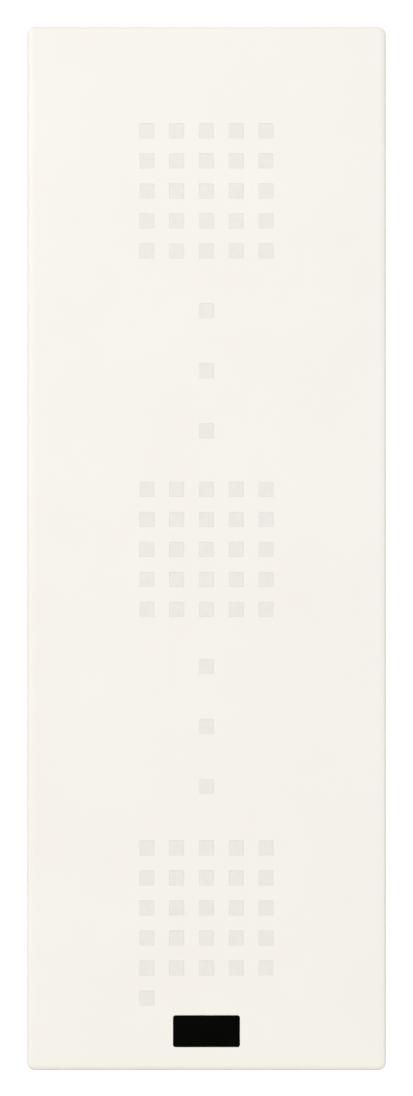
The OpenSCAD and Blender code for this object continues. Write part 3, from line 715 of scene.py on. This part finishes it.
def guide_lenses():
    """A small dome behind each window, which gathers its diode's light."""
    drawing = Drawing()
    backs = [box_mm(guide) for guide in GUIDES]
    radius, rise = 1.15, 0.26
    dome = [(radius * math.cos(t), rise * math.sin(t)) for t in (0, 0.4, 0.8, 1.2)]
    for box in islands("light_diodes"):
        centre = middle(box)
        for low, high in backs:
            if low.x < centre.x < high.x and low.z < centre.z < high.z:
                at = (centre.x, high.y, centre.z)
                drawing.turned([(radius, -ROOT), *dome, (0, rise)], at, (0, 1, 0))
    drawing.publish("guide_lenses", "cover", "light_guide_plastic")


def woven_screen():
    """The cloth behind the sound slots, thread by thread."""
    drawing = Drawing()
    low, high = box_mm("acoustic_mesh")
    pitch, thread, wave, sides = 0.5, 0.11, 0.07, 4
    x = (low.x + high.x) / 2
    rows, columns = int((high.z - low.z) / pitch), int((high.y - low.y) / pitch)

    def sway(k, row):
        return wave * math.sin(math.pi * (k / 2 + row))

    for i in range(rows):
        z = low.z + (i + 0.5) * pitch
        line = [(x + sway(k, i), low.y + k * pitch / 2, z) for k in range(2 * columns + 1)]
        drawing.wire(line, thread, sides)
    for j in range(columns):
        y = low.y + (j + 0.5) * pitch
        line = [(x - sway(k, j), y, low.z + k * pitch / 2) for k in range(2 * rows + 1)]
        drawing.wire(line, thread, sides)
    border, gap = 0.4, 0.01
    for z in (low.z, high.z - border):
        drawing.block((low.x, high.x), (low.y, high.y), (z, z + border))
    for y in (low.y, high.y - border):
        drawing.block((low.x, high.x), (y, y + border), (low.z + border + gap, high.z - border - gap))
    drawing.publish("woven_screen", "cover", "mesh_fabric", replaces=("acoustic_mesh",))


# ---------------------------------------------------------------- circuit board

def touch_springs():
    """Coil springs between the board and the electrodes, closed at both ends."""
    drawing = Drawing()
    wire_r, turns, per_turn = 0.22, 7, 18
    for low, high in islands("touch_contacts"):
        centre = middle((low, high))
        radius = (high.x - low.x) / 2 - wire_r
        start, end = high.y - wire_r, low.y + wire_r
        line = []
        for k in range(turns * per_turn + 1):
            turn = k / per_turn
            climb = min(max((turn - 1) / (turns - 2), 0), 1)
            settle = 2 * wire_r * (min(turn, 1) + max(turn - turns + 1, 0))
            y = start - settle - climb * (start - end - 4 * wire_r)
            angle = 2 * math.pi * turn
            line.append((centre.x + radius * math.cos(angle), y, centre.z + radius * math.sin(angle)))
        drawing.wire(line, wire_r, 8)
    drawing.publish("touch_springs", "base", "stainless_steel", replaces=("touch_contacts",))


def diode_packages():
    """White packages with a resin cup and two solder caps."""
    drawing = Drawing()
    package_h, rim_h, resin_h, cap_h, cap_inset, steps = 0.58, 0.14, 0.2, 0.3, 0.3, 16
    for low, high in islands("light_diodes"):
        centre = middle((low, high))
        half = (high.x - low.x) / 2
        front = high.y - package_h
        drawing.index = 0
        drawing.block((low.x, high.x), (front, high.y), (low.z, high.z), 0.05)
        rim = [(half * 0.94, 0), (half * 0.94, rim_h), (half * 0.8, rim_h), (half * 0.72, 0)]
        drawing.turned(rim, (centre.x, front + 0.01, centre.z), steps=steps, loop=True)
        drawing.index = 1
        radius = half * 0.74
        dome = [(radius * math.cos(t), resin_h * math.sin(t)) for t in (0, 0.5, 1.0)]
        at = (centre.x, front - 0.02, centre.z)
        drawing.turned([(radius, -ROOT), *dome, (0, resin_h)], at, steps=steps)
        drawing.index = 2
        for side in (-1, 1):
            cap = sorted((centre.x + side * half * 0.8, centre.x + side * (half + 0.08)))
            cap_z = (low.z + cap_inset, high.z - cap_inset)
            drawing.block(cap, (high.y - cap_h, high.y - 0.01), cap_z, 0.03)
    looks = [LOOKS["white_plastic"], LOOKS["diode_resin"], LOOKS["tinned_steel"]]
    drawing.publish("diode_packages", "base", "diode_resin", looks, ("light_diodes",))


def front_of_board():
    """What already covers the component side, as (x, z) rectangles in millimetres."""
    taken = []
    headroom, slack = 1.2, 0.05
    for node in BODY_OF:
        if node in ("main_board", "box_frame", "rim_seal") or BODY_OF[node] == "cover":
            continue
        low, high = box_mm(node)
        if high.y > board_y - headroom and low.y < board_y + slack:
            for part_low, part_high in islands(node):
                if part_low.y < board_y + slack and part_high.y > board_y - headroom:
                    taken.append((part_low.x, part_low.z, part_high.x, part_high.z))
    return taken


def overlaps(a, b, margin):
    """Whether two rectangles come closer than the margin."""
    return all(a[i] < b[i + 2] + margin and a[i + 2] > b[i] - margin for i in (0, 1))


class BoardMap:
    """Knows where the board is free."""

    def __init__(self):
        self.taken = front_of_board()
        bm = cad_copy("main_board")
        self.tree = BVHTree.FromBMesh(bm)
        bm.free()

    def on_board(self, x, z):
        above, reach = 2, 2.2
        start = Vector((x, board_y - above, z)) * MM
        return self.tree.ray_cast(start, Vector((0, 1, 0)), reach * MM)[0] is not None

    def free(self, box, margin=0.35):
        """Whether the rectangle lies on the board, clear of its edges and of what's there."""
        rim = 0.5
        x = (box[0] - rim, (box[0] + box[2]) / 2, box[2] + rim)
        z = (box[1] - rim, (box[1] + box[3]) / 2, box[3] + rim)
        return all(self.on_board(a, b) for a in x for b in z) and not any(
            overlaps(box, other, margin) for other in self.taken)

    def claim(self, box):
        self.taken.append(box)


def chip_passives(board):
    """Small resistors and capacitors, with tinned ends, wherever the board has room."""
    drawing = Drawing()
    dice = random.Random(7)
    resistor, capacitor, tin = 0, 1, 2
    kinds = (
        (1.6, 0.8, 0.45, resistor), (1.0, 0.5, 0.35, resistor),
        (1.6, 0.8, 0.8, capacitor), (1.0, 0.5, 0.5, capacitor), (2.0, 1.25, 0.9, capacitor),
    )
    most, placed, inset, grow = 190, 0, 1.5, 0.02
    for _ in range(2600):
        length, width, height, kind = dice.choice(kinds)
        x = round(dice.uniform(board_low.x + inset, board_high.x - inset) * 2) / 2
        z = round(dice.uniform(board_low.z + inset, board_high.z - inset) * 2) / 2
        lying = dice.random() < 0.5
        half = (length / 2, width / 2) if lying else (width / 2, length / 2)
        box = (x - half[0], z - half[1], x + half[0], z + half[1])
        if placed >= most or not board.free(box):
            continue
        board.claim(box)
        placed += 1
        spans = (box[0], box[2]), (box[1], box[3])
        along, across = spans if lying else spans[::-1]
        wide = (across[0] - grow, across[1] + grow)
        cap, top = length * 0.22, board_y - height
        drawing.index = kind
        core = (along[0] + cap * 0.6, along[1] - cap * 0.6)
        x, z = (core, across) if lying else (across, core)
        drawing.block(x, (top, board_y), z, 0.03)
        drawing.index = tin
        for end in ((along[0] - grow, along[0] + cap), (along[1] - cap, along[1] + grow)):
            x, z = (end, wide) if lying else (wide, end)
            drawing.block(x, (top - grow, board_y), z, 0.04)
    looks = [LOOKS["chip_resin"], CERAMIC, LOOKS["tinned_steel"]]
    drawing.publish("chip_passives", "base", "chip_resin", looks)


def chip_leads(board):
    """Gull-wing leads round the processor and along the memory chips, and a dimple at pin one."""
    drawing = Drawing()
    lead_w, lead_t, reach, foot, pitch, root = 0.28, 0.14, 0.35, 0.55, 0.65, 0.1

    def row(low, high, drop, sides):
        """Leads along those sides of a chip, from drop below the middle of its height."""
        top = (low.y + high.y) / 2 + drop
        bend = [(-root, top), (reach, top), (reach, board_y - lead_t), (reach + foot, board_y - lead_t),
                (reach + foot, board_y), (reach - lead_t, board_y), (reach - lead_t, top + lead_t),
                (-root, top + lead_t)]
        for axis, sign in sides:
            corner = high if sign > 0 else low
            edge, a, b = (corner.x, low.z, high.z) if axis == "x" else (corner.z, low.x, high.x)
            count = int((b - a - 1) / pitch)
            for k in range(count + 1):
                c = (a + b) / 2 + (k - count / 2) * pitch - lead_w / 2
                if axis == "x":
                    drawing.prism([(edge + sign * out, depth, c) for out, depth in bend], (0, 0, lead_w))
                else:
                    drawing.prism([(c, depth, edge + sign * out) for out, depth in bend], (lead_w, 0, 0))

    for low, high in islands("processor"):
        row(low, high, 0.13, (("x", -1), ("x", 1), ("z", -1), ("z", 1)))
        board.claim((low.x - 1, low.z - 1, high.x + 1, high.z + 1))
    for low, high in islands("memory_chips"):
        row(low, high, 0.03, (("z", -1), ("z", 1)))
        board.claim((low.x, low.z - 1, high.x, high.z + 1))
    drawing.publish("chip_leads", "base", "tinned_steel")
    dimples = Drawing()
    dimple, inset = [(0, 0.02), (0.32, 0.02), (0.36, 0)], 0.9
    for node in ("processor", "memory_chips"):
        for low, high in islands(node):
            dimples.turned(dimple, (low.x + inset, low.y, high.z - inset), steps=16)
    dimples.publish("pin_one_marks", "base", "chip_resin")


def track_bundle(drawing, points, count):
    """Parallel tracks along a line with 45-degree bends, and a ring at each end."""
    pitch, width, height, sink, ring = 0.5, 0.22, 0.03, 0.01, (0.14, 0.3)
    middle_line = list(mitred([Vector(p) for p in points]))
    for k in range(count):
        shift = (k - (count - 1) / 2) * pitch
        line = [point + side * shift for point, side in middle_line]
        drawing.strip(line, width, (board_y - height, board_y + sink))
        for end in (line[0], line[-1]):
            drawing.ring(ring, (-sink, 0.04), (end.x, board_y, end.y), steps=12)


def board_tracks():
    """Tracks under the lacquer, between the chips, the fields and the connectors."""
    drawing = Drawing()
    chip_low, chip_high = islands("processor")[0]
    shield_low, shield_high = islands("network_shield")[0]
    mid_x, mid_z = (chip_low.x + chip_high.x) / 2, (chip_low.z + chip_high.z) / 2
    shield_x = (shield_low.x + shield_high.x) / 2
    gap, margin_x, field_z = 1.2, 29.6, 54.5
    west, east = chip_low.x - gap, chip_high.x + gap
    south, north = chip_low.z - gap, chip_high.z + gap
    from_processor = (
        ([(west, mid_z + 3), (7.4, mid_z + 3), (5.2, mid_z + 5.2), (5.2, field_z)], 6),
        ([(west, mid_z - 3), (8, mid_z - 3), (5, mid_z - 6), (5, 17)], 6),
        ([(east, mid_z), (27, mid_z), (29.2, mid_z + 2.2), (29.2, 62)], 4),
        ([(mid_x, south), (mid_x, 20), (22.6, 14.4), (22.6, -15), (shield_x + 1, -21.1),
          (shield_x + 1, -22.6)], 4),
        ([(mid_x - 2, north), (mid_x - 2, field_z)], 6),
    )
    elsewhere = (
        ([(13, 31), (13, 27)], 5),
        ([(19, shield_low.z - 0.5), (19, -54), (23, -55.8)], 3),
        ([(-20.5, 12), (-20.5, 16.8)], 4),
        ([(-margin_x, 60), (-margin_x, 82)], 3),
        ([(margin_x, -20), (margin_x, 26)], 3),
        ([(-margin_x, -5), (-margin_x, -13.5)], 3),
        ([(-3.9, -20), (-3.9, -52)], 4),
        ([(4.2, -20), (4.2, -54)], 4),
        ([(-18, -58), (-18, -66), (-20.8, -68.8)], 3),
        ([(29.8, -40), (29.8, -52)], 3),
    )
    for points, count in from_processor + elsewhere:
        track_bundle(drawing, points, count)
    drawing.publish("board_tracks", "base", "board_laminate", [LACQUERED_COPPER])


def solder_joints(board):
    """Cones of solder where the terminal pins go through the board."""
    drawing = Drawing()
    cone = [(0.62, -0.01), (0.45, 0.12), (0.26, 0.3), (0.2, 0.55), (0, 0.58)]
    first_x, last_x, clear = 3.4, 4.3, 0.7
    for box in islands("terminal_pins"):
        z = middle(box).z
        for x in (first_x, last_x):
            drawing.turned(cone, (x, board_y, z), steps=14)
        board.claim((first_x - clear, z - clear, last_x + clear, z + clear))
    drawing.publish("solder_joints", "base", "tinned_steel")


def bare_pads(board):
    """Gold test pads, targets for the assembly machine, and rings under the touch springs."""
    drawing = Drawing()
    lift, sink = 0.035, 0.01

    def dot(x, z, radius, steps):
        drawing.turned([(0, lift), (radius, lift), (radius, -sink)], (x, board_y, z), steps=steps)

    for box in islands("touch_contacts"):
        centre = middle(box)
        drawing.ring((1.2, 2.7), (-sink, lift), (centre.x, board_y, centre.z), steps=32)
    for x, z in ((-29, 84), (29, 84), (-17.5, -89)):
        dot(x, z, 0.55, 20)
    dice = random.Random(11)
    most, placed, inset, half = 46, 0, 2, 0.5
    for _ in range(900):
        x = round(dice.uniform(board_low.x + inset, board_high.x - inset), 1)
        z = round(dice.uniform(board_low.z + inset, board_high.z - inset), 1)
        box = (x - half, z - half, x + half, z + half)
        if placed < most and board.free(box, 0.3):
            board.claim(box)
            placed += 1
            dot(x, z, 0.42, 16)
    drawing.publish("bare_pads", "base", "contact_brass")


def board_print():
    """Printed outlines round the larger components, without any lettering."""
    drawing = Drawing()
    line, gap, depth = 0.15, 0.01, (board_y - 0.045, board_y)

    def outline(x0, z0, x1, z1):
        drawing.block((x0, x1), depth, (z0, z0 + line))
        drawing.block((x0, x1), depth, (z1 - line, z1))
        drawing.block((x0, x0 + line), depth, (z0 + line + gap, z1 - line - gap))
        drawing.block((x1 - line, x1), depth, (z0 + line + gap, z1 - line - gap))

    margins = {"processor": 1.2, "network_shield": 0.5, "door_relay": 0.4, "tamper_switch": 0.4,
               "setup_switch": 0.4, "power_inductors": 0.35, "capacitors": 0.5}
    for node, margin in margins.items():
        for low, high in islands(node):
            outline(low.x - margin, low.z - margin, high.x + margin, high.z + margin)
    drawing.publish("board_print", "base", "white_plastic")


def shield_tabs():
    """Solder tabs round the shield can, and dimples in its lid."""
    drawing = Drawing()
    low, high = islands("network_shield")[0]
    half_tab, tab_t, sink, edge = 0.8, 0.14, 0.01, 0.03
    depth = (low.y + 0.9, high.y)
    for share in (0.25, 0.5, 0.75):
        x = low.x + share * (high.x - low.x)
        for z in ((low.z - tab_t, low.z + sink), (high.z - sink, high.z + tab_t)):
            drawing.block((x - half_tab, x + half_tab), depth, z, edge)
    for share in (0.15, 0.38, 0.62, 0.85):
        z = low.z + share * (high.z - low.z)
        for x in ((low.x - tab_t, low.x + sink), (high.x - sink, high.x + tab_t)):
            drawing.block(x, depth, (z - half_tab, z + half_tab), edge)
    dimple, pitch = [(0.62, -0.01), (0.55, 0.05), (0.4, 0.05), (0.34, -0.01)], 3
    for i in range(4):
        for j in range(7):
            at = (low.x + 2.5 + i * pitch, low.y, low.z + 3 + j * pitch)
            drawing.turned(dimple, at, steps=16, loop=True)
    drawing.publish("shield_tabs", "base", "tinned_steel")


def capacitor_bases():
    """Square feet of the capacitors, and the dark segment that marks one side of their tops."""
    bases, marks = Drawing(), Drawing()
    margin, base_h, mark_inset, sink, proud = 0.25, 0.75, 0.3, 0.01, 0.012
    for low, high in islands("capacitors"):
        foot_x = (low.x - margin, high.x + margin)
        foot_z = (low.z - margin, high.z + margin)
        bases.block(foot_x, (high.y - base_h, high.y), foot_z, 0.18)
        centre = middle((low, high))
        radius = (high.x - low.x) / 2 - mark_inset
        angles = [math.radians(a) for a in range(128, 233, 8)]
        rim = [(centre.x + radius * math.cos(t), centre.z + radius * math.sin(t)) for t in angles]
        marks.prism([(x, low.y - proud, z) for x, z in rim], (0, proud + sink, 0))
    bases.publish("capacitor_bases", "base", "dark_plastic")
    marks.publish("capacitor_marks", "base", "chip_resin")


# ---------------------------------------------------------------- terminals, camera and loudspeaker

def lever_ridges():
    """Grip ridges across the top of each clamp lever."""
    radius, first, pitch, sunk, inset = 0.17, 1.3, 0.6, 0.36, 0.35
    for i in range(1, 5):
        node = f"terminal_lever_{i}"
        low, high = box_mm(node)
        drawing = Drawing()
        for k in range(4):
            x, y = low.x + first + pitch * k, low.y + sunk
            drawing.wire([(x, y, low.z + inset), (x, y, high.z - inset)], radius, 10)
        drawing.publish(f"lever_{i}_ridges", node, "orange_plastic")


def wire_funnels():
    """Raised rims round the plug's wire openings."""
    drawing = Drawing()
    low, high = box_mm("terminal_plug")
    wire_y = high.y - 1.9
    rim = [(1.5, -ROOT), (1.45, 0.2), (1.25, 0.2), (1.12, -ROOT)]
    for i in range(1, 5):
        z = middle(box_mm(f"terminal_lever_{i}")).z
        drawing.turned(rim, (low.x, wire_y, z), (-1, 0, 0), 24, loop=True)
    drawing.publish("wire_funnels", "terminal_plug", "green_plastic")


def camera_rings():
    """Grip ribs round the barrel and the ring that holds the lens."""
    drawing = Drawing()
    low, high = box_mm("lens_barrel")
    centre = middle((low, high))
    radius = (high.x - low.x) / 2
    ribs, rib_r, rib_start, rib_end = 36, 0.07, 0.35, 1.6
    for k in range(ribs):
        angle = 2 * math.pi * k / ribs
        x, z = centre.x + radius * math.cos(angle), centre.z + radius * math.sin(angle)
        drawing.wire([(x, low.y + rib_start, z), (x, low.y + rib_end, z)], rib_r, 6)
    drawing.ring((1.34, 1.62), (0, 0.14), (centre.x, low.y + 1.1, centre.z), steps=40)
    drawing.publish("lens_rings", "camera_head", "black_anodised")


def cone_corrugations():
    """Raised circles on the loudspeaker's cone."""
    drawing = Drawing()
    centre = middle(box_mm("speaker_cone"))
    cone_r, cone_h, slope = 3.4, 13.2, 2.1 / 4.5      # where the cone leaves its dust cap
    for k in range(5):
        radius = 4.3 + 0.72 * k
        height = cone_h + (radius - cone_r) * slope
        drawing.bead(radius, height, (0.14, 0.14), (centre.x, 0, centre.z))
    drawing.publish("cone_corrugations", "speaker_cone", "cone_paper")


# ---------------------------------------------------------------- back of the box

def back_ribs():
    """A lattice of low ribs on the back plate, inside the openings of the foam frame."""
    drawing = Drawing()
    low, high = box_mm("wall_gasket")
    cable = middle(box_mm("cable_grommet"))
    depth = (low.y - 0.1, low.y + 0.55)
    low_depth = (depth[0], depth[1] - 0.12)
    rim, bar, gap, cable_r, rib_t, spacing, edge = 12, 10, 0.3, 15.4, 0.9, 13, 0.15
    half = high.x - rim - gap
    for z0, z1 in ((low.z + rim + gap, -bar / 2 - gap), (bar / 2 + gap, high.z - rim - gap)):
        rows = round((z1 - z0) / spacing)
        for k in range(1, rows):
            z = z0 + (z1 - z0) * k / rows
            cut = cable_r ** 2 - (z - cable.z) ** 2
            start = max(-half, cable.x + math.sqrt(cut)) if cut > 0 else -half
            drawing.block((start, half), depth, (z - rib_t / 2, z + rib_t / 2), edge)
        for x in (-half / 2, 0, half / 2):
            cut = cable_r ** 2 - (x - cable.x) ** 2
            spans = [(z0, z1)]
            if cut > 0 and z0 < cable.z < z1:
                spans = [(z0, cable.z - math.sqrt(cut)), (cable.z + math.sqrt(cut), z1)]
            for span in spans:
                drawing.block((x - rib_t / 2, x + rib_t / 2), low_depth, span, edge)
    drawing.publish("back_ribs", "base", "box_plastic")


def grommet_ridges():
    """Raised circles on the back of the cable grommet."""
    drawing = Drawing()
    low, high = box_mm("cable_grommet")
    centre = middle((low, high))
    for radius in (4.6, 6.0, 7.4, 8.8):
        drawing.bead(radius, 0, (0.22, 0.16), (centre.x, high.y, centre.z), (0, 1, 0), 10)
    drawing.publish("grommet_ridges", "base", "black_rubber")


cover_ribs()
guide_clips()
guide_lenses()
woven_screen()
touch_springs()
diode_packages()
board_map = BoardMap()
chip_leads(board_map)
solder_joints(board_map)
bare_pads(board_map)
chip_passives(board_map)
board_tracks()
board_print()
shield_tabs()
capacitor_bases()
lever_ridges()
wire_funnels()
camera_rings()
cone_corrugations()
back_ribs()
grommet_ridges()
